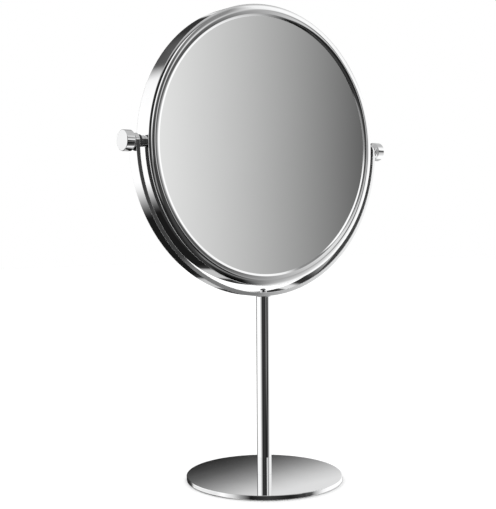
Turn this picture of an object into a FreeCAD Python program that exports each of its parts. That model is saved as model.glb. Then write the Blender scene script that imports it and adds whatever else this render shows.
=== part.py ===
import FreeCAD, Part
import math
import os
import Sketcher
from FreeCAD import Placement, Rotation, Vector

# Extendable two-sided shaving mirror.
#
# A thin round base carries a post. The column tube slides up and down that post, and a half-ring
# yoke swivels on the tube's top. The round mirror case tilts between the yoke's two ends on a pair
# of studs, each with a knob that sets the tilt friction.
#
# Frame: millimetres, +Z up, the plain mirror faces -Y, the origin is on the surface that the
# mirror stands on, at the centre of the base. The column is shown fully lowered.

# ---------------------------------------------------------------- driving dimensions
DRIVING = {
    # stand
    "base_radius": 61.5,
    "base_thickness": 3.5,
    "base_edge_round": 0.4,
    "pad_radius": 55.5,
    "pad_thickness": 1.3,
    "pad_stand_proud": 0.5,
    "base_screw_radius": 2.5,
    "base_screw_head_radius": 4.6,
    "base_screw_length": 14.7,
    "base_screw_key": 1.75,
    "base_screw_key_depth": 1.4,
    "post_radius": 4.0,
    "post_height": 100.0,
    "post_neck_radius": 3.0,
    "post_neck_height": 14.0,
    "cap_screw_radius": 1.5,
    "cap_screw_length": 9.0,
    "cap_screw_head_radius": 2.8,
    "cap_screw_head_height": 2.0,
    "cap_washer_radius": 4.4,
    "cap_washer_thickness": 0.8,
    "sleeve_groove_radius": 3.7,
    "sleeve_groove_height": 2.0,
    # column
    "tube_radius": 5.7,
    "tube_wall": 1.0,
    "tube_foot_gap": 0.3,
    "column_bush_height": 12.0,
    "plug_height": 16.0,
    "yoke_screw_radius": 1.5,
    "yoke_screw_length": 13.0,
    "yoke_screw_head_radius": 2.8,
    "yoke_screw_head_height": 2.3,
    "spring_washer_radius": 2.7,
    "spring_washer_thickness": 0.35,
    # yoke
    "pivot_height": 262.2,
    "yoke_radius": 116.8,
    "yoke_thickness": 3.0,
    "yoke_width": 11.4,
    "yoke_edge_round": 0.25,
    "yoke_seat_depth": 0.15,
    "yoke_seat_radius": 6.2,
    "yoke_head_seat_radius": 3.2,
    "yoke_head_seat_depth": 0.1,
    "swivel_hole_radius": 2.3,
    "swivel_flange_radius": 5.0,
    "swivel_flange_thickness": 0.4,
    "eye_hole_radius": 3.2,
    "eye_flange_radius": 5.0,
    "eye_flange_thickness": 0.6,
    # mirror case, measured outwards from its middle plane and from its axis
    "case_radius": 108.6,
    "case_wall": 1.1,
    "case_half_depth": 8.4,
    "case_lip_radius": 105.9,
    "case_lip_rise": 0.97,
    "case_lip_crown": 7.6,
    "case_lip_thickness": 1.2,
    "case_corner_round": 0.8,
    "bezel_radius": 105.8,
    "bezel_skirt_wall": 0.9,
    "bezel_skirt_end": 3.8,
    "bezel_shoulder": 9.38,
    "bezel_shoulder_crown": 14.0,
    "bezel_crest_radius": 103.6,
    "bezel_crest": 9.55,
    "bezel_crest_crown": 6.0,
    "bezel_brow_radius": 102.1,
    "bezel_brow": 9.37,
    "bezel_mouth_radius": 99.4,
    "bezel_mouth": 8.57,
    "bezel_mouth_crown": 25.0,
    "glass_radius": 100.8,
    "glass_thickness": 2.0,
    "glass_face": 8.45,
    "magnifier_curve": 650.0,
    "cushion_radius": 100.5,
    "cushion_thickness": 1.0,
    "rear_cushion_hole": 96.0,
    "rear_cushion_face": 5.6,
    "core_radius": 104.7,
    "backing_thickness": 1.45,
    "support_ring_hole": 92.0,
    "support_ring_thickness": 0.8,
    # tilt pivots, measured outwards along the tilt axis
    "stud_radius": 2.0,
    "stud_inner_end": 101.0,
    "stud_outer_end": 122.5,
    "boss_radius": 3.2,
    "boss_inner_end": 99.0,
    "boss_outer_end": 107.4,
    "collar_radius": 4.2,
    "collar_inner_end": 108.65,
    "collar_outer_end": 111.3,
    "tilt_washer_radius": 4.7,
    "tilt_washer_outer_end": 112.9,
    "eye_flange_inner_end": 113.0,
    "knob_washer_radius": 5.2,
    "knob_washer_inner_end": 116.95,
    "knob_inner_end": 117.3,
    "knob_outer_end": 125.3,
    "knob_radius": 7.6,
    "knob_root_radius": 5.2,
    "knob_cone_length": 1.5,
    "knob_edge_round": 0.35,
    # fits
    "running_clearance": 0.05,
    "hole_clearance": 0.1,
    "seat_clearance": 0.02,
    "thread_runout": 0.8,
    "cutter_margin": 1.0,
    "bush_setback": 0.2,
}

# Two sizes nearer than this, in millimetres, count as the same.
CLOSE = 1e-3
# Rounding of a screw head, as a part of its height.
HEAD_ROUND = 0.6
DOME_ROUND = 0.85

# How far the column slides up the post. It limits the joint, and nothing is built from it.
COLUMN_TRAVEL = 80.0

doc = FreeCAD.newDocument("shaving_mirror")
sheet = doc.addObject("Spreadsheet::Sheet", "sizes")
for row, (alias, number) in enumerate(DRIVING.items(), start=1):
    sheet.set("A%d" % row, alias)
    sheet.set("B%d" % row, str(number))
    sheet.setAlias("B%d" % row, alias)
doc.recompute()


class Size:
    """A length with its value and the expression that works it out from the sheet's cells."""

    def __init__(self, value, text):
        self.value = value
        self.text = text

    def combine(self, other, sign, value):
        text = other.text if isinstance(other, Size) else repr(other)
        return Size(value, "(%s %s %s)" % (self.text, sign, text))

    def __add__(self, other):
        return self.combine(other, "+", self.value + number_of(other))

    def __sub__(self, other):
        return self.combine(other, "-", self.value - number_of(other))

    def __mul__(self, other):
        return self.combine(other, "*", self.value * number_of(other))

    def __truediv__(self, other):
        return self.combine(other, "/", self.value / number_of(other))

    def __neg__(self):
        return self * -1.0


def number_of(size):
    return size.value if isinstance(size, Size) else float(size)


def root(size):
    return Size(math.sqrt(size.value), "sqrt(%s)" % size.text)


ZERO = Size(0.0, "0")
D = {alias: Size(number, "sizes.%s" % alias) for alias, number in DRIVING.items()}

# Directions in which a turned piece's own +Z axis can point.
UP = Rotation()
FRONT = Rotation(Vector(1, 0, 0), 90)
REAR = Rotation(Vector(1, 0, 0), -90)
SIDES = {"left": -1.0, "right": 1.0}

sub_parts = []


# ---------------------------------------------------------------- building blocks
def place(piece, turn=UP, x=ZERO, y=ZERO, z=ZERO):
    """Puts a sub-part at sheet-driven coordinates."""
    piece.Placement = Placement(Vector(x.value, y.value, z.value), turn)
    for axis, size in (("x", x), ("y", y), ("z", z)):
        if size is not ZERO:
            piece.setExpression("Placement.Base." + axis, size.text)


def keep(piece, label):
    piece.Label = label
    sub_parts.append(piece)
    return piece


def new_body(label):
    return keep(doc.addObject("PartDesign::Body", label), label)


def new_sketch(body, plane_role, name, offset=None):
    """A sketch on one of the body's own origin planes, shifted along its normal by offset."""
    sketch = body.newObject("Sketcher::SketchObject", "%s_%s" % (body.Label, name))
    plane = [item for item in body.Origin.OriginFeatures if item.Role == plane_role][0]
    sketch.AttachmentSupport = [(plane, "")]
    sketch.MapMode = "FlatFace"
    if offset is not None:
        sketch.AttachmentOffset = Placement(Vector(0, 0, offset.value), Rotation())
        sketch.setExpression("AttachmentOffset.Base.z", offset.text)
    return sketch


def fix_point(sketch, geometry, end, x, y):
    """Holds one end of a sketch element at (x, y) from the sketch's origin."""
    for kind, axis, size in (("DistanceX", -2, x), ("DistanceY", -1, y)):
        if size is ZERO:
            sketch.addConstraint(Sketcher.Constraint("PointOnObject", geometry, end, axis))
            continue
        index = sketch.addConstraint(Sketcher.Constraint(kind, -1, 1, geometry, end, size.value))
        sketch.setExpression("Constraints[%d]" % index, size.text)


def arc_between(start, end, radius, bulge):
    """The arc of that radius from start to end; bulge +1 has its centre on the left, -1 on the right."""
    half = (end - start) * 0.5
    rise = math.sqrt(radius ** 2 - half.Length ** 2)
    left = Vector(-half.y, half.x, 0).normalize()
    centre = start + half + left * (rise * bulge)
    angles = [math.atan2(point.y - centre.y, point.x - centre.x) for point in (start, end)]
    if bulge < 0:
        angles.reverse()
    return Part.ArcOfCircle(Part.Circle(centre, Vector(0, 0, 1), radius), angles[0], angles[1])


def draw_outline(sketch, corners, arcs=None):
    """Draws a closed outline. arcs maps a corner's number to (radius, bulge) of the run after it."""
    arcs = arcs or {}
    points = [Vector(x.value, y.value, 0) for x, y in corners]
    runs = []
    for number, start in enumerate(points):
        end = points[(number + 1) % len(points)]
        first, last = 1, 2
        if number in arcs:
            radius, bulge = arcs[number]
            index = sketch.addGeometry(arc_between(start, end, radius.value, bulge), False)
            if bulge < 0:
                first, last = 2, 1
        else:
            index = sketch.addGeometry(Part.LineSegment(start, end), False)
        runs.append((index, first, last))
    for number, (index, first, last) in enumerate(runs):
        following = runs[(number + 1) % len(runs)]
        joint = Sketcher.Constraint("Coincident", index, last, following[0], following[1])
        sketch.addConstraint(joint)
        fix_point(sketch, index, first, *corners[number])
        if number in arcs:
            radius = arcs[number][0]
            held = sketch.addConstraint(Sketcher.Constraint("Radius", index, radius.value))
            sketch.setExpression("Constraints[%d]" % held, radius.text)


def draw_circle(sketch, radius, x=ZERO, y=ZERO):
    centre = Vector(x.value, y.value, 0)
    circle = sketch.addGeometry(Part.Circle(centre, Vector(0, 0, 1), radius.value), False)
    held = sketch.addConstraint(Sketcher.Constraint("Radius", circle, radius.value))
    sketch.setExpression("Constraints[%d]" % held, radius.text)
    fix_point(sketch, circle, 3, x, y)


def turned(label, corners, arcs=None):
    """A body turned about its own Z axis from an outline of (radius, height) corners."""
    body = new_body(label)
    sketch = new_sketch(body, "XZ_Plane", "outline")
    draw_outline(sketch, corners, arcs)
    spin = body.newObject("PartDesign::Revolution", label + "_turned")
    spin.Profile = sketch
    spin.ReferenceAxis = (sketch, ["V_Axis"])
    spin.Angle = 360
    sketch.Visibility = False
    doc.recompute()
    return body


def ring(label, outer, inner, start, end):
    return turned(label, [(inner, start), (outer, start), (outer, end), (inner, end)])


def drill(body, plane_role, name, radius, x=ZERO, y=ZERO):
    """A round hole right through the body, both ways from one of its origin planes."""
    sketch = new_sketch(body, plane_role, name + "_outline")
    draw_circle(sketch, radius, x, y)
    cut_through(body, sketch, name)


def cut_through(body, sketch, name):
    before = body.Shape.Volume
    hole = body.newObject("PartDesign::Pocket", "%s_%s" % (body.Label, name))
    hole.Profile = sketch
    hole.Type = "ThroughAll"
    hole.SideType = "Symmetric"
    sketch.Visibility = False
    doc.recompute()
    check_removed(body, before, name)


def check_removed(body, before, name):
    if body.Shape.Volume > before - CLOSE:
        raise RuntimeError("%s: %s removed nothing" % (body.Label, name))


def rim_edges(body, rims):
    """Names of the circular edges about the body's own Z axis at the given (radius, height)."""
    names = []
    for number, edge in enumerate(body.Shape.Edges, start=1):
        if not isinstance(edge.Curve, Part.Circle):
            continue
        centre = body.Placement.inverse().multVec(edge.Curve.Center)
        for radius, height in rims:
            if abs(edge.Curve.Radius - radius.value) < CLOSE and abs(centre.z - height.value) < CLOSE:
                names.append("Edge%d" % number)
    return names


def round_edges(body, names, radius):
    if not names:
        raise RuntimeError("%s: no edge to round" % body.Label)
    previous = body.Tip
    fillet = body.newObject("PartDesign::Fillet", body.Label + "_rounding")
    fillet.Base = (previous, names)
    fillet.setExpression("Radius", radius.text)
    doc.recompute()


def plain_disc(label, radius, thickness):
    disc = keep(doc.addObject("Part::Cylinder", label), label)
    disc.setExpression("Radius", radius.text)
    disc.setExpression("Height", thickness.text)
    return disc


# ---------------------------------------------------------------- stand
plate_bottom = D["pad_stand_proud"]
plate_top = plate_bottom + D["base_thickness"]
bore_radius = D["tube_radius"] - D["tube_wall"]
post_shoulder = plate_top + D["post_height"]
post_top = post_shoulder + D["post_neck_height"]


def make_base_plate():
    clearance = D["hole_clearance"]
    screw_bore = D["base_screw_radius"] + clearance
    head_bore = D["base_screw_head_radius"] + clearance
    recess = D["pad_radius"] + clearance
    plate = turned("base_plate", [
        (screw_bore, plate_top), (D["base_radius"], plate_top), (D["base_radius"], plate_bottom),
        (recess, plate_bottom), (recess, D["pad_thickness"]), (head_bore, D["pad_thickness"]),
        (screw_bore, D["pad_thickness"] + head_bore - screw_bore),
    ])
    rims = [(D["base_radius"], plate_top), (D["base_radius"], plate_bottom)]
    round_edges(plate, rim_edges(plate, rims), D["base_edge_round"])


def make_base_pad():
    plain_disc("base_pad", D["pad_radius"], D["pad_thickness"])


def make_base_screw():
    """Countersunk screw that holds the post down, with a six-sided key socket in its head."""
    head, shank = D["base_screw_head_radius"], D["base_screw_radius"]
    screw = turned("base_screw", [
        (ZERO, ZERO), (head, ZERO), (shank, head - shank),
        (shank, D["base_screw_length"]), (ZERO, D["base_screw_length"]),
    ])
    sketch = new_sketch(screw, "XY_Plane", "socket_outline")
    key = D["base_screw_key"]
    across = key * math.sqrt(3) / 2
    half = key / 2
    draw_outline(sketch, [
        (key, ZERO), (half, across), (-half, across), (-key, ZERO), (-half, -across), (half, -across),
    ])
    before = screw.Shape.Volume
    socket = screw.newObject("PartDesign::Pocket", "base_screw_socket")
    socket.Profile = sketch
    socket.setExpression("Length", D["base_screw_key_depth"].text)
    socket.Reversed = True
    doc.recompute()
    check_removed(screw, before, "socket")
    place(screw, z=D["pad_thickness"])


def make_post():
    """Solid rod with a neck for the guide sleeve and a threaded hole in each end."""
    screw_end = D["pad_thickness"] + D["base_screw_length"] + D["thread_runout"]
    cap_end = post_top - D["cap_screw_length"] - D["thread_runout"]
    turned("post", [
        (D["base_screw_radius"], plate_top), (D["post_radius"], plate_top),
        (D["post_radius"], post_shoulder), (D["post_neck_radius"], post_shoulder),
        (D["post_neck_radius"], post_top), (D["cap_screw_radius"], post_top),
        (D["cap_screw_radius"], cap_end), (ZERO, cap_end), (ZERO, screw_end),
        (D["base_screw_radius"], screw_end),
    ])


def make_post_sleeve():
    """Guide sleeve on the post's neck, which runs in the tube and carries the friction ring."""
    outer = bore_radius - D["running_clearance"]
    inner, groove = D["post_neck_radius"], D["sleeve_groove_radius"]
    groove_low = post_shoulder + (D["post_neck_height"] - D["sleeve_groove_height"]) / 2
    groove_high = groove_low + D["sleeve_groove_height"]
    turned("post_sleeve", [
        (inner, post_shoulder), (outer, post_shoulder), (outer, groove_low), (groove, groove_low),
        (groove, groove_high), (outer, groove_high), (outer, post_top), (inner, post_top),
    ])
    ring("friction_ring", outer, groove, groove_low, groove_high)


def make_post_cap():
    washer_top = post_top + D["cap_washer_thickness"]
    ring("post_cap_washer", D["cap_washer_radius"], D["cap_screw_radius"], post_top, washer_top)
    head_top = washer_top + D["cap_screw_head_height"]
    shank_end = post_top - D["cap_screw_length"]
    screw = turned("post_cap_screw", [
        (ZERO, shank_end), (D["cap_screw_radius"], shank_end), (D["cap_screw_radius"], washer_top),
        (D["cap_screw_head_radius"], washer_top), (D["cap_screw_head_radius"], head_top),
        (ZERO, head_top),
    ])
    rim = rim_edges(screw, [(D["cap_screw_head_radius"], head_top)])
    round_edges(screw, rim, D["cap_screw_head_height"] * HEAD_ROUND)


# ---------------------------------------------------------------- column
yoke_low = D["pivot_height"] - D["yoke_radius"]
yoke_seat = yoke_low + D["yoke_seat_depth"]
yoke_inner_radius = D["yoke_radius"] - D["yoke_thickness"]
head_seat = D["pivot_height"] - yoke_inner_radius - D["yoke_head_seat_depth"]
tube_foot = plate_top + D["tube_foot_gap"]
bush_foot = tube_foot + D["bush_setback"]
tube_top = yoke_seat - D["swivel_flange_thickness"] - D["running_clearance"]


def make_column_tube():
    tube = new_body("column_tube")
    sketch = new_sketch(tube, "XY_Plane", "section")
    draw_circle(sketch, D["tube_radius"])
    draw_circle(sketch, bore_radius)
    pad = tube.newObject("PartDesign::Pad", "column_tube_wall")
    pad.Profile = sketch
    pad.setExpression("Length", (tube_top - tube_foot).text)
    sketch.Visibility = False
    doc.recompute()
    place(tube, z=tube_foot)


def make_column_bush():
    inner = D["post_radius"] + D["running_clearance"]
    ring("column_bush", bore_radius, inner, bush_foot, bush_foot + D["column_bush_height"])


def make_column_plug():
    ring("column_plug", bore_radius, D["yoke_screw_radius"], tube_top - D["plug_height"], tube_top)


def make_yoke_screw():
    """Domed screw that holds the yoke on the column, over a spring washer."""
    washer_low = head_seat + D["running_clearance"]
    head_low = washer_low + D["spring_washer_thickness"]
    head_top = head_low + D["yoke_screw_head_height"]
    shank_end = head_low - D["yoke_screw_length"]
    ring("yoke_spring_washer", D["spring_washer_radius"], D["yoke_screw_radius"], washer_low, head_low)
    screw = turned("yoke_screw", [
        (ZERO, shank_end), (D["yoke_screw_radius"], shank_end), (D["yoke_screw_radius"], head_low),
        (D["yoke_screw_head_radius"], head_low), (D["yoke_screw_head_radius"], head_top),
        (ZERO, head_top),
    ])
    rim = rim_edges(screw, [(D["yoke_screw_head_radius"], head_top)])
    round_edges(screw, rim, D["yoke_screw_head_height"] * DOME_ROUND)


# ---------------------------------------------------------------- yoke
def make_yoke():
    """Flat bar bent to a half ring round the case, with a round eye at each end."""
    yoke = new_body("yoke")
    outer, inner = D["yoke_radius"], yoke_inner_radius
    eye_top = D["yoke_width"] / 2
    sketch = new_sketch(yoke, "XZ_Plane", "outline")
    draw_outline(sketch, [
        (-outer, ZERO), (ZERO, -outer), (outer, ZERO), (outer, eye_top), (inner, eye_top),
        (inner, ZERO), (ZERO, -inner), (-inner, ZERO), (-inner, eye_top), (-outer, eye_top),
    ], {0: (outer, 1), 1: (outer, 1), 5: (inner, -1), 6: (inner, -1)})
    bar = yoke.newObject("PartDesign::Pad", "yoke_bar")
    bar.Profile = sketch
    bar.SideType = "Symmetric"
    bar.setExpression("Length", D["yoke_width"].text)
    sketch.Visibility = False
    doc.recompute()
    place(yoke, z=D["pivot_height"])
    doc.recompute()

    round_off = new_sketch(yoke, "YZ_Plane", "eye_round_outline")
    beyond = eye_top + D["cutter_margin"]
    draw_outline(round_off, [
        (-eye_top, ZERO), (ZERO, eye_top), (eye_top, ZERO), (beyond, ZERO), (beyond, beyond),
        (-beyond, beyond), (-beyond, ZERO),
    ], {0: (eye_top, -1), 1: (eye_top, -1)})
    cut_through(yoke, round_off, "eye_round")
    side_edges = []
    for number, edge in enumerate(yoke.Shape.Edges, start=1):
        box = edge.BoundBox
        bar_arc = isinstance(edge.Curve, Part.Circle) and edge.Curve.Radius > eye_top.value * 2
        if bar_arc and abs(abs(box.YMin) - eye_top.value) < CLOSE and box.YLength < CLOSE:
            side_edges.append("Edge%d" % number)
    round_edges(yoke, side_edges, D["yoke_edge_round"])

    drill(yoke, "YZ_Plane", "eye_holes", D["eye_hole_radius"])
    drill(yoke, "XY_Plane", "swivel_hole", D["swivel_hole_radius"])
    spot_face(yoke, "column_seat", D["yoke_seat_radius"], -(outer - D["yoke_seat_depth"]), True)
    spot_face(yoke, "screw_seat", D["yoke_head_seat_radius"],
              -(inner + D["yoke_head_seat_depth"]), False)


def spot_face(yoke, name, radius, height, downwards):
    """A flat round seat cut across the bar's curved face, from height outwards or inwards."""
    sketch = new_sketch(yoke, "XY_Plane", name + "_outline", offset=height)
    draw_circle(sketch, radius)
    before = yoke.Shape.Volume
    seat = yoke.newObject("PartDesign::Pocket", "yoke_" + name)
    seat.Profile = sketch
    seat.setExpression("Length", D["cutter_margin"].text)
    seat.Reversed = not downwards
    doc.recompute()
    check_removed(yoke, before, name)


def make_swivel_bush():
    """Flanged bush pressed into the yoke: the tube's top bears on its flange."""
    flange_low = yoke_seat - D["swivel_flange_thickness"]
    inner = D["yoke_screw_radius"] + D["running_clearance"]
    turned("swivel_bush", [
        (inner, flange_low), (D["swivel_flange_radius"], flange_low),
        (D["swivel_flange_radius"], yoke_seat), (D["swivel_hole_radius"], yoke_seat),
        (D["swivel_hole_radius"], head_seat), (inner, head_seat),
    ])


# ---------------------------------------------------------------- mirror case
def make_case_band():
    """Drum-shaped band with a crowned lip turned inwards at both ends."""
    depth, lip_top = D["case_half_depth"], D["case_half_depth"] + D["case_lip_rise"]
    lip_under = lip_top - D["case_lip_thickness"]
    wall = D["case_radius"] - D["case_wall"]
    band = turned("case_band", [
        (D["case_radius"], -depth), (D["case_radius"], depth), (D["case_lip_radius"], lip_top),
        (D["case_lip_radius"], lip_under), (wall, lip_under), (wall, -lip_under),
        (D["case_lip_radius"], -lip_under), (D["case_lip_radius"], -lip_top),
    ], {1: (D["case_lip_crown"], 1), 7: (D["case_lip_crown"], 1)})
    drill(band, "YZ_Plane", "pivot_holes", D["stud_radius"] + D["hole_clearance"])
    rims = [(D["case_radius"], -depth), (D["case_radius"], depth)]
    round_edges(band, rim_edges(band, rims), D["case_corner_round"])
    place(band, FRONT, z=D["pivot_height"])


def make_bezel(label, facing):
    """Turned ring that holds one glass, its face one smooth crown that carries on into the lip."""
    outer, face = D["bezel_radius"], D["glass_face"]
    skirt = outer - D["bezel_skirt_wall"]
    pocket = D["glass_radius"] + D["hole_clearance"]
    under = face - D["glass_thickness"]
    bezel = turned(label, [
        (outer, D["bezel_skirt_end"]), (outer, D["bezel_shoulder"]),
        (D["bezel_crest_radius"], D["bezel_crest"]), (D["bezel_brow_radius"], D["bezel_brow"]),
        (D["bezel_mouth_radius"], D["bezel_mouth"]),
        (D["bezel_mouth_radius"], face), (pocket, face), (pocket, under),
        (skirt, under), (skirt, D["bezel_skirt_end"]),
    ], {
        1: (D["bezel_shoulder_crown"], 1),
        2: (D["bezel_crest_crown"], 1),
        3: (D["bezel_mouth_crown"], 1),
    })
    place(bezel, facing, z=D["pivot_height"])


def make_front_glass():
    glass = plain_disc("front_glass", D["glass_radius"], D["glass_thickness"])
    place(glass, FRONT, y=-(D["glass_face"] - D["glass_thickness"]), z=D["pivot_height"])


def make_rear_glass():
    """Concave magnifying glass: a disc cut from a spherical shell centred far behind the mirror."""
    blank = doc.addObject("Part::Cylinder", "rear_glass_blank")
    blank.setExpression("Radius", D["glass_radius"].text)
    blank.setExpression("Height", (D["glass_face"] * 2).text)
    curve = D["magnifier_curve"]
    rim_rise = root(curve * curve - D["glass_radius"] * D["glass_radius"])
    centre = D["glass_face"] + rim_rise
    balls = {}
    for name, radius in (("inner", curve), ("outer", curve + D["glass_thickness"])):
        ball = doc.addObject("Part::Sphere", "rear_glass_%s_ball" % name)
        ball.setExpression("Radius", radius.text)
        place(ball, z=centre)
        balls[name] = ball
    place(blank, z=-D["glass_face"])
    shell = doc.addObject("Part::Cut", "rear_glass_shell")
    shell.Base, shell.Tool = balls["outer"], balls["inner"]
    glass = keep(doc.addObject("Part::Common", "rear_glass"), "rear_glass")
    glass.Base, glass.Tool = blank, shell
    place(glass, REAR, z=D["pivot_height"])


def make_case_filling():
    """The cushions, plate and rings that pack the two glasses apart inside the band."""
    back = D["glass_face"] - D["glass_thickness"]
    plate_face = back - D["cushion_thickness"]
    spacer_front = plate_face - D["backing_thickness"]
    cushion = plain_disc("front_cushion", D["cushion_radius"], D["cushion_thickness"])
    place(cushion, FRONT, y=-plate_face, z=D["pivot_height"])
    plate = plain_disc("backing_plate", D["core_radius"], D["backing_thickness"])
    place(plate, FRONT, y=-spacer_front, z=D["pivot_height"])

    cushion_back = D["rear_cushion_face"] - D["cushion_thickness"]
    spacer_rear = cushion_back - D["support_ring_thickness"]
    rear_cushion = ring("rear_cushion", D["cushion_radius"], D["rear_cushion_hole"],
                        cushion_back, D["rear_cushion_face"])
    place(rear_cushion, REAR, z=D["pivot_height"])
    support = ring("support_ring", D["core_radius"], D["support_ring_hole"],
                   spacer_rear, cushion_back)
    place(support, REAR, z=D["pivot_height"])
    spacer = ring("spacer_ring", D["core_radius"], D["rear_cushion_hole"],
                  -spacer_rear, spacer_front)
    drill(spacer, "YZ_Plane", "boss_holes", D["boss_radius"] + D["seat_clearance"])
    place(spacer, FRONT, z=D["pivot_height"])


# ---------------------------------------------------------------- tilt pivots
def make_pivot(side, sign):
    """One tilt pivot, from the threaded boss inside the band out to the knob."""
    turn = Rotation(Vector(0, 1, 0), 90 * sign)
    clearance = D["running_clearance"]
    bore = D["stud_radius"] + clearance

    def sideways(label, corners):
        """A piece turned about the tilt axis, its heights measured from its own inner end."""
        start = corners[0][1]
        piece = turned("%s_%s" % (side, label), [
            (radius, ZERO if height is start else height - start) for radius, height in corners
        ])
        place(piece, turn, x=start * sign, z=D["pivot_height"])
        return piece

    def side_ring(label, outer, inner, start, end):
        sideways(label, [(inner, start), (outer, start), (outer, end), (inner, end)])

    side_ring("pivot_boss", D["boss_radius"], bore, D["boss_inner_end"], D["boss_outer_end"])
    side_ring("collar", D["collar_radius"], bore, D["collar_inner_end"], D["collar_outer_end"])
    side_ring("tilt_washer", D["tilt_washer_radius"], bore,
              D["collar_outer_end"], D["tilt_washer_outer_end"])

    flange_end = D["eye_flange_inner_end"] + D["eye_flange_thickness"]
    sideways("eye_bush", [
        (bore, D["eye_flange_inner_end"]), (D["eye_flange_radius"], D["eye_flange_inner_end"]),
        (D["eye_flange_radius"], flange_end), (D["eye_hole_radius"], flange_end),
        (D["eye_hole_radius"], D["yoke_radius"]), (bore, D["yoke_radius"]),
    ])

    side_ring("knob_washer", D["knob_washer_radius"], D["stud_radius"],
              D["knob_washer_inner_end"], D["knob_inner_end"])
    sideways("stud", [
        (ZERO, D["stud_inner_end"]), (D["stud_radius"], D["stud_inner_end"]),
        (D["stud_radius"], D["stud_outer_end"]), (ZERO, D["stud_outer_end"]),
    ])
    cone_end = D["knob_inner_end"] + D["knob_cone_length"]
    knob = sideways("knob", [
        (D["stud_radius"], D["knob_inner_end"]), (D["knob_root_radius"], D["knob_inner_end"]),
        (D["knob_radius"], cone_end), (D["knob_radius"], D["knob_outer_end"]),
        (ZERO, D["knob_outer_end"]), (ZERO, D["stud_outer_end"]),
        (D["stud_radius"], D["stud_outer_end"]),
    ])
    knob_length = D["knob_outer_end"] - D["knob_inner_end"]
    rims = [(D["knob_radius"], knob_length), (D["knob_radius"], D["knob_cone_length"])]
    round_edges(knob, rim_edges(knob, rims), D["knob_edge_round"])


# ---------------------------------------------------------------- assembly and export
def check_document():
    """Stops on a failed object or a bad sub-part, and on a column that would leave its guide."""
    for item in doc.Objects:
        if "Invalid" in item.State or "Error" in item.State:
            raise RuntimeError("%s failed: %s" % (item.Name, item.State))
    for piece in sub_parts:
        shape = piece.Shape
        if shape.isNull() or not shape.isValid() or len(shape.Solids) != 1:
            raise RuntimeError("%s has no single valid solid" % piece.Label)
    bush_top = bush_foot + D["column_bush_height"]
    if bush_top.value + COLUMN_TRAVEL > post_shoulder.value:
        raise RuntimeError("the column's travel is longer than the post")


def export_parts():
    os.makedirs("parts", exist_ok=True)
    for piece in sub_parts:
        piece.Shape.exportStep("parts/%s.step" % piece.Label)
        print("%-20s %10.1f mm3" % (piece.Label, piece.Shape.Volume))


make_base_plate()
make_base_pad()
make_base_screw()
make_post()
make_post_sleeve()
make_post_cap()
make_column_tube()
make_column_bush()
make_column_plug()
make_yoke_screw()
make_yoke()
make_swivel_bush()
make_case_band()
make_bezel("front_bezel", FRONT)
make_bezel("rear_bezel", REAR)
make_front_glass()
make_rear_glass()
make_case_filling()
for side_name, side_sign in SIDES.items():
    make_pivot(side_name, side_sign)
doc.recompute()
check_document()
export_parts()
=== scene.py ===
"""Extendable shaving mirror in polished chrome: round foot, telescopic column, yoke, two-sided head."""

from math import cos, pi, radians, sin, tan

import bpy
from mathutils import Matrix, Vector


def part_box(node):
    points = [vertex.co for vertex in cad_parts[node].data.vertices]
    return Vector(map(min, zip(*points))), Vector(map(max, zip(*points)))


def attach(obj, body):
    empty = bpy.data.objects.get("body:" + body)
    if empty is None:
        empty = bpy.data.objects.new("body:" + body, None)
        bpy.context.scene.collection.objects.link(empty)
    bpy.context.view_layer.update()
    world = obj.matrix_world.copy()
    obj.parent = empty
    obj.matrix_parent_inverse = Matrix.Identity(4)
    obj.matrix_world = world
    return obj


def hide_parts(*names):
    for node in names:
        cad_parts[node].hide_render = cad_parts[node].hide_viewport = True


MM = 0.001

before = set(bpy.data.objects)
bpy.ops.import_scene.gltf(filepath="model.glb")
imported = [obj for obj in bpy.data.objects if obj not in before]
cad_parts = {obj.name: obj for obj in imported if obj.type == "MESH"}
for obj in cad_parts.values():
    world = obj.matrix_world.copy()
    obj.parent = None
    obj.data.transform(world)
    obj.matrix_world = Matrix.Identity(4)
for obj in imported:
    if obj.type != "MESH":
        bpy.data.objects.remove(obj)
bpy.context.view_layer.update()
scene = bpy.context.scene


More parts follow.
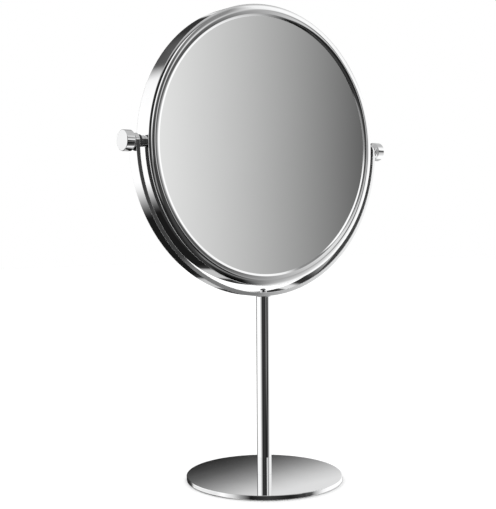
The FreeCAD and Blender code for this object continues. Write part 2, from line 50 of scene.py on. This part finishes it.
# ---------------------------------------------------------------- node helpers
class Graph:
    """A short way to write shader nodes."""

    def __init__(self, tree):
        self.tree = tree
        tree.nodes.clear()

    def add(self, kind, inputs=None, **settings):
        node = self.tree.nodes.new(kind)
        for name, value in settings.items():
            setattr(node, name, value)
        for name, value in (inputs or {}).items():
            self.feed(node.inputs[name], value)
        return node

    def feed(self, socket, value):
        if isinstance(value, bpy.types.NodeSocket):
            self.tree.links.new(value, socket)
        else:
            socket.default_value = value

    def math(self, operation, *values, clamp=False):
        inputs = dict(enumerate(values))
        return self.add("ShaderNodeMath", inputs, operation=operation, use_clamp=clamp).outputs[0]

    def mix(self, factor, first, second):
        """first where factor is 0, second where it is 1, for plain numbers."""
        change = self.math("MULTIPLY", self.math("SUBTRACT", second, first), factor)
        return self.math("ADD", change, first)

    def span(self, value, low, high):
        """0 below low, 1 above high, and an eased step between them."""
        inputs = {"Value": value, "From Min": low, "From Max": high}
        node = self.add("ShaderNodeMapRange", inputs, interpolation_type="SMOOTHSTEP")
        return node.outputs["Result"]

    def between(self, value, low, high, rise, fall):
        """1 from low to high and 0 outside, with eased steps of rise and fall just inside."""
        return self.math("MULTIPLY", self.span(value, low, low + rise), self.span(value, high, high - fall))

    def ramp(self, value, stops):
        """stops: (place from 0 to 1, grey level or colour)."""
        node = self.add("ShaderNodeValToRGB", {"Fac": value})
        elements = node.color_ramp.elements
        for index, (place, level) in enumerate(stops):
            element = elements[index] if index < 2 else elements.new(place)
            element.position = place
            element.color = (*level, 1) if isinstance(level, tuple) else (level, level, level, 1)
        return node.outputs["Color"]

    def noise(self, place, scale, detail=3.0, roughness=0.55):
        inputs = {"Vector": place, "Scale": scale, "Detail": detail, "Roughness": roughness}
        return self.add("ShaderNodeTexNoise", inputs).outputs["Fac"]


# ---------------------------------------------------------------- studio
STUDIO_STRENGTH = 1.16
FLOOR_LIGHT = 1.3
# Light level of the round wall by azimuth in degrees: 0 is straight in front of the mirror and 90 is
# on its right. Heights below are degrees above the horizon.
WALLS = [
    (-180, 0.03),
    (-172, 0.10),
    (-164, 0.90),
    (-150, 1.0),
    (-100, 1.0),
    (-84, 0.70),
    (-72, 0.30),
    (-58, 0.01),
    (-33, 0.04),
    (0, 0.012),
    (10, 0.025),
    (20, 0.05),
    (26, 0.07),
    (29.2, 0.70),
    (31, 0.72),
    (36, 0.485),
    (40, 0.285),
    (44, 0.09),
    (48, 0.08),
    (53, 0.80),
    (64, 1.0),
    (126, 1.0),
    (132, 0.08),
    (148, 0.03),
]
# The lower part of the wall, which differs only at the front right.
LOW_WALLS = [
    (21, 0.05),
    (25, 0.05),
    (26.5, 0.012),
    (34, 0.02),
    (38, 0.32),
    (43, 0.48),
    (47, 0.60),
    (56, 0.88),
    (66, 1.0),
]
# The upper part of the wall, which differs only on the right.
HIGH_WALLS = [
    (16, 0.10),
    (27, 0.22),
    (33, 0.26),
    (38, 0.85),
    (44, 0.95),
    (68, 0.92),
    (90, 0.60),
    (136, 0.55),
]
# Softboxes and flags: azimuth from and to, height from and to, width of the soft edges, light level.
CARDS = [
    (8, 14.5, 0, 8, 2, 0.70),
    (23, 39, -17, -10, 2.5, 0.19),
    (45, 62, 9, 20, 2, 0.92),
    (-190, -140, 30, 60, 6, 0.03),
    (100, 160, -100, -18, 3, 0.50),
    (160, 200, -100, -22, 3, 0.01),
    (-200, -100, -100, -12, 14, 0.01),
    (-153, -148, 2, 7, 1, 0.86),
]
# The tall card behind, on the right, seen in the foot. Its light level as seen from the mirror, from
# its lower left corner to its upper right one.
BACK_CARD = [
    (0.05, 0.025),
    (0.16, 0.052),
    (0.28, 0.10),
    (0.39, 0.18),
    (0.51, 0.293),
    (0.62, 0.434),
    (0.74, 0.582),
    (0.86, 0.69),
]
SKY = 0.48
SKY_HEIGHTS = (30, 46)


def wall_ramp(g, azimuth, walls):
    """The light level of a wall all the way round."""
    around = g.math("ADD", g.math("DIVIDE", azimuth, 360.0), 0.5)
    return g.ramp(around, [((place + 180) / 360, light) for place, light in walls])


def low_wall(g, azimuth, height, level):
    """Lays the low wall over the level.

    It darkens downwards, later on its right, and its upper edge rises on its left.
    """
    west, east, ease = 19, 67, 1
    late_from, late_by, dark, bright = 38.0, 2.0, -46, -4
    rise_from, rise_by, edge_top, edge_foot = 35.0, -0.9, -3.6, -5.4
    beyond = g.math("MAXIMUM", g.math("SUBTRACT", azimuth, late_from), 0.0)
    raised = g.math("ADD", height, g.math("MULTIPLY", beyond, late_by))
    low = g.math("MULTIPLY", wall_ramp(g, azimuth, LOW_WALLS), g.span(raised, dark, bright))
    short = g.math("MAXIMUM", g.math("SUBTRACT", rise_from, azimuth), 0.0)
    lowered = g.math("ADD", height, g.math("MULTIPLY", short, rise_by))
    across = g.between(azimuth, west, east, ease, ease)
    return g.mix(g.math("MULTIPLY", across, g.span(lowered, edge_top, edge_foot)), level, low)


def high_wall(g, azimuth, height, level):
    """Lays the high wall over the level."""
    west, east, ease = 12, 140, 8
    edge_foot, edge_top = 13, 19
    across = g.between(azimuth, west, east, ease, ease)
    above = g.math("MULTIPLY", across, g.span(height, edge_foot, edge_top))
    return g.mix(above, level, wall_ramp(g, azimuth, HIGH_WALLS))


def strip_softbox(g, azimuth, height, level):
    """A tall leaning strip at the front, dim in its lower part."""
    middle, lean = 4.5, -0.42
    half_width, half_core = 8.0, 4.0
    bottom, top, ease = -13, 31, 5
    dim, dim_until, bright_from = 0.25, 2, 10
    aside = g.math("ADD", g.math("SUBTRACT", azimuth, middle), g.math("MULTIPLY", height, lean))
    across = g.span(g.math("ABSOLUTE", aside), half_width, half_core)
    upright = g.between(height, bottom, top, ease, ease)
    glow = g.mix(g.span(height, dim_until, bright_from), dim, 1.0)
    return g.mix(g.math("MULTIPLY", across, upright), level, glow)


def cards(g, azimuth, height, level):
    """The softboxes and flags, each over the ones before."""
    for west, east, bottom, top, edge, light in CARDS:
        across = g.between(azimuth, west, east, edge, edge)
        upright = g.between(height, bottom, top, edge, edge)
        level = g.mix(g.math("MULTIPLY", across, upright), level, light)
    return level


def back_card(g, azimuth, height, level):
    """The tall card behind, its light graded on a slant."""
    west, east, bottom, top = 128, 152, 0, 26
    upward, sideways, start, length = 0.97, -0.242, 21.56, 3.3
    way = g.math("ADD", g.math("MULTIPLY", height, upward), g.math("MULTIPLY", azimuth, sideways))
    light = g.ramp(g.math("DIVIDE", g.math("ADD", way, start), length), BACK_CARD)
    across = g.between(azimuth, west, east, 6, 3)
    upright = g.between(height, bottom, top, 8, 5)
    return g.mix(g.math("MULTIPLY", across, upright), level, light)


def studio_light():
    """A round studio of walls, softboxes and flags that only the glossy surfaces see.

    Everything else meets plain white light.
    """
    world = bpy.data.worlds.new("studio")
    scene.world = world
    world.use_nodes = True
    g = Graph(world.node_tree)
    way = g.add("ShaderNodeTexCoord").outputs["Generated"]
    x, y, z = g.add("ShaderNodeSeparateXYZ", {"Vector": way}).outputs
    azimuth = g.math("DEGREES", g.math("ARCTAN2", x, g.math("MULTIPLY", y, -1.0)))
    height = g.math("DEGREES", g.math("ARCSINE", z))
    level = wall_ramp(g, azimuth, WALLS)
    for layer in (low_wall, high_wall, strip_softbox, cards, back_card):
        level = layer(g, azimuth, height, level)
    level = g.mix(g.span(height, *SKY_HEIGHTS), level, SKY)
    seen = g.add("ShaderNodeBackground", {"Color": level, "Strength": STUDIO_STRENGTH})
    path = g.add("ShaderNodeLightPath").outputs
    brightness = g.mix(path["Is Camera Ray"], FLOOR_LIGHT, 1.0)
    plain = g.add("ShaderNodeBackground", {"Color": (1.0, 1.0, 1.0, 1.0), "Strength": brightness})
    both = g.add("ShaderNodeMixShader", {"Fac": path["Is Glossy Ray"]})
    g.feed(both.inputs[1], plain.outputs[0])
    g.feed(both.inputs[2], seen.outputs[0])
    g.add("ShaderNodeOutputWorld", {"Surface": both.outputs[0]})


def floor():
    """A plain pale floor under the stand."""
    half = 3.0
    mesh = bpy.data.meshes.new("floor")
    corners = [(-half, -half, 0), (half, -half, 0), (half, half, 0), (-half, half, 0)]
    mesh.from_pydata(corners, [], [(0, 1, 2, 3)])
    plane = bpy.data.objects.new("floor", mesh)
    scene.collection.objects.link(plane)
    plane.visible_glossy = False
    material = bpy.data.materials.new("floor")
    material.use_nodes = True
    g = Graph(material.node_tree)
    inputs = {"Base Color": (0.92, 0.92, 0.92, 1.0), "Roughness": 0.9}
    shader = g.add("ShaderNodeBsdfPrincipled", inputs)
    g.add("ShaderNodeOutputMaterial", {"Surface": shader.outputs[0]})
    mesh.materials.append(material)


CAMERA_LENS = 68.92
CAMERA_ANGLES = (-36.79, 2.285, -0.356)
CAMERA_DISTANCE = 0.756955
CAMERA_TARGET = (-0.014871, 0.0, 0.178236)


def camera():
    """The camera stands to the left of the mirror, level with the lower half of its head."""
    data = bpy.data.cameras.new("camera")
    data.sensor_width = 36.0
    data.lens = CAMERA_LENS
    data.clip_start = 0.01
    data.clip_end = 50.0
    azimuth, elevation, roll = [radians(angle) for angle in CAMERA_ANGLES]
    back = Vector((sin(azimuth) * cos(elevation), -cos(azimuth) * cos(elevation), sin(elevation)))
    right = Vector((cos(azimuth), sin(azimuth), 0.0))
    up = back.cross(right)
    across = right * cos(roll) + up * sin(roll)
    upward = up * cos(roll) - right * sin(roll)
    place = Matrix.Translation(Vector(CAMERA_TARGET) + back * CAMERA_DISTANCE)
    eye = bpy.data.objects.new("camera", data)
    eye.matrix_world = place @ Matrix((across, upward, back)).transposed().to_4x4()
    scene.collection.objects.link(eye)
    scene.camera = eye


# ---------------------------------------------------------------- finishes
def start_finish(name):
    """A new finish, its graph and the piece's own coordinates."""
    material = bpy.data.materials.new(name)
    material.use_nodes = True
    g = Graph(material.node_tree)
    place = g.add("ShaderNodeTexCoord").outputs["Object"]
    return material, g, place


def end_finish(g, shader, normal=None):
    """Gives the shader its relief, if there is one, and puts it out."""
    if normal is not None:
        g.feed(shader.inputs["Normal"], normal)
    g.add("ShaderNodeOutputMaterial", {"Surface": shader.outputs["BSDF"]})


def chrome():
    """Polished chrome plate: a mirror with faint wipe marks and a breath of blue."""
    material, g, place = start_finish("chrome")
    smear = g.noise(place, scale=55.0, detail=4.0)
    wipes = g.noise(place, scale=700.0, detail=2.0)
    colour = g.ramp(smear, [(0.3, (0.865, 0.867, 0.87)), (0.7, (0.90, 0.902, 0.905))])
    rough = g.mix(g.math("MULTIPLY", smear, wipes), 0.012, 0.07)
    shader = g.add("ShaderNodeBsdfPrincipled", {"Base Color": colour, "Metallic": 1.0, "Roughness": rough})
    end_finish(g, shader)
    return material


def mirror_glass(name, tint):
    """Silvered glass: a clean mirror with a trace of dust in its sheen."""
    material, g, place = start_finish(name)
    dust = g.noise(place, scale=30.0, detail=6.0, roughness=0.7)
    colour = g.ramp(dust, [(0.25, tuple(c * 0.985 for c in tint)), (0.75, tint)])
    rough = g.mix(g.span(dust, 0.45, 0.8), 0.0, 0.03)
    inputs = {"Base Color": colour, "Metallic": 1.0, "Roughness": rough}
    shader = g.add("ShaderNodeBsdfPrincipled", inputs)
    end_finish(g, shader)
    return material


def turned_metal(name, dark, light, low, high):
    """Bare turned metal with a fine grain of tool marks and slow patches of colour."""
    material, g, place = start_finish(name)
    patches = g.noise(place, scale=120.0, detail=4.0)
    marks = g.noise(place, scale=4000.0, detail=2.0)
    colour = g.ramp(patches, [(0.3, dark), (0.7, light)])
    rough = g.mix(marks, low, high)
    shader = g.add("ShaderNodeBsdfPrincipled", {"Base Color": colour, "Metallic": 1.0, "Roughness": rough})
    bump = g.add("ShaderNodeBump", {"Height": marks, "Strength": 0.15, "Distance": 0.02 * MM})
    end_finish(g, shader, bump.outputs[0])
    return material


def moulded(name, dark, light, low, high, grain, depth):
    """Moulded rubber, nylon, foam or plastic: a fine grain, and gloss that varies with it."""
    material, g, place = start_finish(name)
    patches = g.noise(place, scale=90.0, detail=4.0)
    pores = g.noise(place, scale=grain, detail=3.0)
    colour = g.ramp(patches, [(0.3, dark), (0.7, light)])
    rough = g.mix(pores, low, high)
    shader = g.add("ShaderNodeBsdfPrincipled", {"Base Color": colour, "Roughness": rough})
    bump = g.add("ShaderNodeBump", {"Height": pores, "Strength": 0.5, "Distance": depth * MM})
    end_finish(g, shader, bump.outputs[0])
    return material


# Turned metals: dark and light colour, roughness from and to.
METALS = {
    "steel": ((0.50, 0.50, 0.51), (0.62, 0.62, 0.63), 0.22, 0.38),
    "brass": ((0.62, 0.44, 0.17), (0.75, 0.56, 0.25), 0.20, 0.36),
}
# Moulded parts: dark and light colour, roughness from and to, fineness and depth (mm) of the grain.
MOULDED = {
    "black_rubber": ((0.012, 0.012, 0.013), (0.03, 0.03, 0.032), 0.55, 0.8, 3000.0, 0.03),
    "black_nylon": ((0.02, 0.02, 0.02), (0.045, 0.045, 0.045), 0.35, 0.55, 2500.0, 0.01),
    "foam": ((0.08, 0.08, 0.085), (0.16, 0.16, 0.165), 0.85, 0.95, 1500.0, 0.2),
    "grey_plastic": ((0.22, 0.22, 0.225), (0.30, 0.30, 0.305), 0.40, 0.6, 2200.0, 0.02),
}


def make_finishes():
    """One finish for each material slot."""
    made = {
        "chrome": chrome(),
        "plain_glass": mirror_glass("plain_glass", (0.95, 0.955, 0.95)),
        "magnifying_glass": mirror_glass("magnifying_glass", (0.94, 0.95, 0.945)),
    }
    for name, look in METALS.items():
        made[name] = turned_metal(name, *look)
    for name, look in MOULDED.items():
        made[name] = moulded(name, *look)
    return made


def finish_nodes(finishes):
    """Each CAD node takes the finish of its slot."""
    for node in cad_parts.values():
        for holder in node.material_slots:
            holder.material = finishes[holder.material.name.split(".")[0]]


# ---------------------------------------------------------------- mesh tools
SMOOTH_TURN = radians(35)
# Where a station keeps the normals of the runs before and after each of its places.
BEFORE, AFTER = 1, 2


def fillet(before, corner, after, radius, steps=5):
    """The points that round off one corner of an outline."""
    into = (Vector(before) - Vector(corner)).normalized()
    out = (Vector(after) - Vector(corner)).normalized()
    half = into.angle(out) / 2
    centre = Vector(corner) + (into + out).normalized() * (radius / sin(half))
    first = Vector(corner) + into * (radius / tan(half)) - centre
    last = Vector(corner) + out * (radius / tan(half)) - centre
    points = []
    for step in range(steps + 1):
        spoke = first.lerp(last, step / steps).normalized() * radius
        points.append(tuple(centre + spoke))
    return points


def bow(start, end, radius, steps=10):
    """The points between two corners, on an arc of that radius that bulges to the right of the way."""
    start, end = Vector(start), Vector(end)
    half = (end - start) / 2
    left = Vector((-half.y, half.x)).normalized()
    centre = start + half + left * (radius ** 2 - half.length ** 2) ** 0.5
    points = []
    for step in range(1, steps):
        spoke = (start - centre).lerp(end - centre, step / steps).normalized() * radius
        points.append(tuple(centre + spoke))
    return points


def outline(corners):
    """An outline from corners of (x, y) or (x, y, rounding)."""
    points = []
    for number, corner in enumerate(corners):
        if len(corner) == 2:
            points.append(corner)
            continue
        before, after = corners[number - 1][:2], corners[(number + 1) % len(corners)][:2]
        points += fillet(before, corner[:2], after, corner[2])
    return points


def outline_normals(points):
    """For each corner, the outward normals of the runs before and after it.

    Where the two nearly agree, they are made one.
    """
    following = points[1:] + points[:1]
    area = sum(a[0] * b[1] - b[0] * a[1] for a, b in zip(points, following))
    side = 1 if area > 0 else -1
    runs = [Vector((b[1] - a[1], a[0] - b[0])) * side for a, b in zip(points, following)]
    pairs = []
    for number, after in enumerate(runs):
        before = runs[number - 1]
        if before.angle(after) < SMOOTH_TURN:
            both = (before + after).normalized()
            pairs.append((both, both))
        else:
            pairs.append((before.normalized(), after.normalized()))
    return pairs


def skin(name, stations, closed):
    """A surface through rings of (place, normal before, normal after), shaded with those normals.

    With closed set, the last ring joins the first one again.
    """
    places, known, faces, shading = [], {}, [], []
    same_digits = 8

    def number_of(place):
        key = tuple(round(c, same_digits) for c in place)
        if key not in known:
            known[key] = len(places)
            places.append(place)
        return known[key]

    following = stations[1:] + stations[:1] if closed else stations[1:]
    for here, there in zip(stations, following):
        for number, start in enumerate(here):
            nxt = (number + 1) % len(here)
            quad = [(start, AFTER), (here[nxt], BEFORE), (there[nxt], BEFORE), (there[number], AFTER)]
            face, normals = [], []
            for point, which in quad:
                index = number_of(point[0])
                if index not in face:
                    face.append(index)
                    normals.append(point[which])
            if len(face) < 3:
                continue
            flat = (places[face[1]] - places[face[0]]).cross(places[face[2]] - places[face[1]])
            if flat.dot(sum(normals, Vector())) < 0:
                face.reverse()
                normals.reverse()
            faces.append(face)
            shading += normals
    mesh = bpy.data.meshes.new(name)
    mesh.from_pydata(places, [], faces)
    mesh.shade_smooth()
    mesh.normals_split_custom_set(shading)
    piece = bpy.data.objects.new(name, mesh)
    scene.collection.objects.link(piece)
    return piece


def turned(name, points, axis, centre, segments=360):
    """A piece turned about an axis from an outline of (radius, height) in millimetres."""
    first = Vector((0, 0, 1)).cross(axis) if abs(axis.z) < 0.5 else Vector((1, 0, 0))
    second = axis.cross(first)
    normals = outline_normals(points)
    stations = []
    for step in range(segments):
        turn = 2 * pi * step / segments
        spoke = first * cos(turn) + second * sin(turn)
        station = []
        for (radius, height), pair in zip(points, normals):
            place = centre + (spoke * radius + axis * height) * MM
            station.append((place, *(spoke * n.x + axis * n.y for n in pair)))
        stations.append(station)
    return skin(name, stations, True)


def fit(piece, body, slot, *nodes):
    """Puts a made piece in place of its CAD nodes."""
    piece.data.materials.append(finishes[slot])
    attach(piece, body)
    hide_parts(*nodes)


def box_mm(node):
    """The low and high corners of a CAD node, in millimetres."""
    low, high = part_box(node)
    return low / MM, high / MM


# ---------------------------------------------------------------- pieces
def case_band():
    """The drum of the head, with a crowned lip rolled inwards at both ends."""
    _, high = box_mm("case_band")
    radius, top = high.x, high.y
    lip_drop, lip_reach, wall_thick, lip_under = 0.97, 2.78, 1.1, 1.2
    crown, corner, inner_drop = 7.6, 0.8, 0.09
    edge, brim, under = top - lip_drop, top - inner_drop, top - lip_under
    inner, wall = radius - lip_reach, radius - wall_thick
    points = outline([
        (wall, -under),
        (inner, -under),
        (inner, -brim),
        *bow((inner, -brim), (radius, -edge), crown),
        (radius, -edge, corner),
        (radius, edge, corner),
        *bow((radius, edge), (inner, brim), crown),
        (inner, brim),
        (inner, under),
        (wall, under),
    ])
    fit(turned("head_band", points, FRONT, pivot_centre), "head", "chrome", "case_band")


def bezel(label, facing, top):
    """The turned ring that holds one glass, its face crowned from the lip of the drum to its mouth."""
    _, high = box_mm(label)
    radius = high.x
    skirt_long, skirt_thick = 5.75, 0.9
    shoulder_drop, crest_in = 0.17, 2.2
    brow_drop, brow_in = 0.41, 4.8
    mouth_drop, mouth_in, mouth_soft = 0.98, 6.4, 0.05
    ledge_drop, pocket_wide, pocket_drop = 1.1, 1.5, 3.1
    outer_crown, middle_crown, inner_crown = 14.0, 60.0, 25.0
    shoulder, crest = (radius, top - shoulder_drop), (radius - crest_in, top)
    brow, mouth = (radius - brow_in, top - brow_drop), radius - mouth_in
    skirt, ledge, under = top - skirt_long, top - ledge_drop, top - pocket_drop
    points = outline([
        (radius, skirt),
        shoulder,
        *bow(shoulder, crest, outer_crown),
        crest,
        *bow(crest, brow, middle_crown),
        brow,
        *bow(brow, (mouth, top - mouth_drop), inner_crown),
        (mouth, top - mouth_drop, mouth_soft),
        (mouth, ledge),
        (mouth + pocket_wide, ledge),
        (mouth + pocket_wide, under),
        (radius - skirt_thick, under),
        (radius - skirt_thick, skirt),
    ])
    fit(turned(label + "_ring", points, facing, pivot_centre), "head", "chrome", label)


def magnifying_dish():
    """The magnifying glass: hollowed on a long radius, equally thick all over, its rim cut straight."""
    _, high = box_mm("rear_glass")
    radius, face = high.x, high.y
    hollow, thick, rings, crowding = 650.0, 2.0, 24, 1.5
    ball = face + (hollow ** 2 - radius ** 2) ** 0.5
    across = [radius * (ring / rings) ** crowding for ring in range(rings + 1)]
    front = [(r, ball - (hollow ** 2 - r ** 2) ** 0.5) for r in across]
    back = [(r, ball - ((hollow + thick) ** 2 - r ** 2) ** 0.5) for r in across]
    piece = turned("magnifying_dish", front + back[::-1], REAR, pivot_centre)
    fit(piece, "head", "magnifying_glass", "rear_glass")


def yoke_bow():
    """The flat bow that carries the head: a half ring between two round eyes, its edges leaning."""
    _, high = box_mm("yoke")
    outer, half, thick = high.x, high.y, 3.0
    lean, soft = 0.34, 0.25
    middle = outer - thick / 2
    points = outline([
        (half, -thick / 2, soft),
        (half - lean, thick / 2, soft),
        (lean - half, thick / 2, soft),
        (-half, -thick / 2, soft),
    ])
    normals = outline_normals(points)

    def station(outward, across, rise):
        """One cut through the bow: its thickness lies outward; across and rise turn its width."""
        cut = []
        for (s, t), pair in zip(points, normals):
            width = Vector((0, s * across, abs(s) * rise))
            place = pivot_centre + (outward * (middle + t) + width) * MM
            turned_pair = [outward * n.y + Vector((0, n.x * across, abs(n.x) * rise)) for n in pair]
            cut.append((place, *turned_pair))
        return cut

    eye_steps, ring_steps = 16, 240
    eye_turns = [pi / 2 * step / eye_steps for step in range(1, eye_steps + 1)]
    ring_turns = [pi + pi * step / ring_steps for step in range(ring_steps + 1)]
    stations = [station(LEFT, cos(turn), sin(turn)) for turn in reversed(eye_turns)]
    stations += [station(Vector((cos(turn), 0, sin(turn))), 1, 0) for turn in ring_turns]
    stations += [station(RIGHT, cos(turn), sin(turn)) for turn in eye_turns]
    fit(skin("yoke_bow", stations, False), "yoke", "chrome", "yoke")


def column():
    """The tube that slides on the post; at rest it stands on the foot with no gap to be seen."""
    _, high = box_mm("column_tube")
    _, foot_high = box_mm("base_plate")
    wall_thick, gap, soft = 1.0, 0.02, 0.3
    radius, bore = high.x, high.x - wall_thick
    bottom, top = foot_high.z + gap, high.z
    points = outline([
        (bore, bottom),
        (radius, bottom),
        (radius, top, soft),
        (bore, top),
    ])
    piece = turned("column_sleeve", points, UP, Vector((0, 0, 0)), segments=128)
    fit(piece, "column", "chrome", "column_tube")


def knob(side, outward):
    """A turned knob: a cone behind, a short cylinder and a flat face."""
    low, high = box_mm(side + "_knob")
    radius = high.y
    near, far = sorted((abs(low.x), abs(high.x)))
    cone_wide, cone_long = 2.4, 1.5
    neck_soft, shoulder_soft, face_soft = 0.15, 0.25, 0.5
    points = outline([
        (0, near),
        (radius - cone_wide, near, neck_soft),
        (radius, near + cone_long, shoulder_soft),
        (radius, far, face_soft),
        (0, far),
    ])
    piece = turned(side + "_knob_turning", points, outward, pivot_centre, segments=128)
    fit(piece, side + "_knob", "chrome", side + "_knob")


studio_light()
floor()
camera()
finishes = make_finishes()
finish_nodes(finishes)

FRONT, REAR = Vector((0, -1, 0)), Vector((0, 1, 0))
LEFT, RIGHT = Vector((-1, 0, 0)), Vector((1, 0, 0))
UP = Vector((0, 0, 1))
left_knob_low, left_knob_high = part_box("left_knob")
pivot_centre = Vector((0, 0, (left_knob_low.z + left_knob_high.z) / 2))
crest_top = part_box("rear_bezel")[1].y / MM
case_band()
bezel("front_bezel", FRONT, crest_top)
bezel("rear_bezel", REAR, crest_top)
magnifying_dish()
yoke_bow()
column()
knob("left", LEFT)
knob("right", RIGHT)
scene.view_settings.view_transform = "Standard"
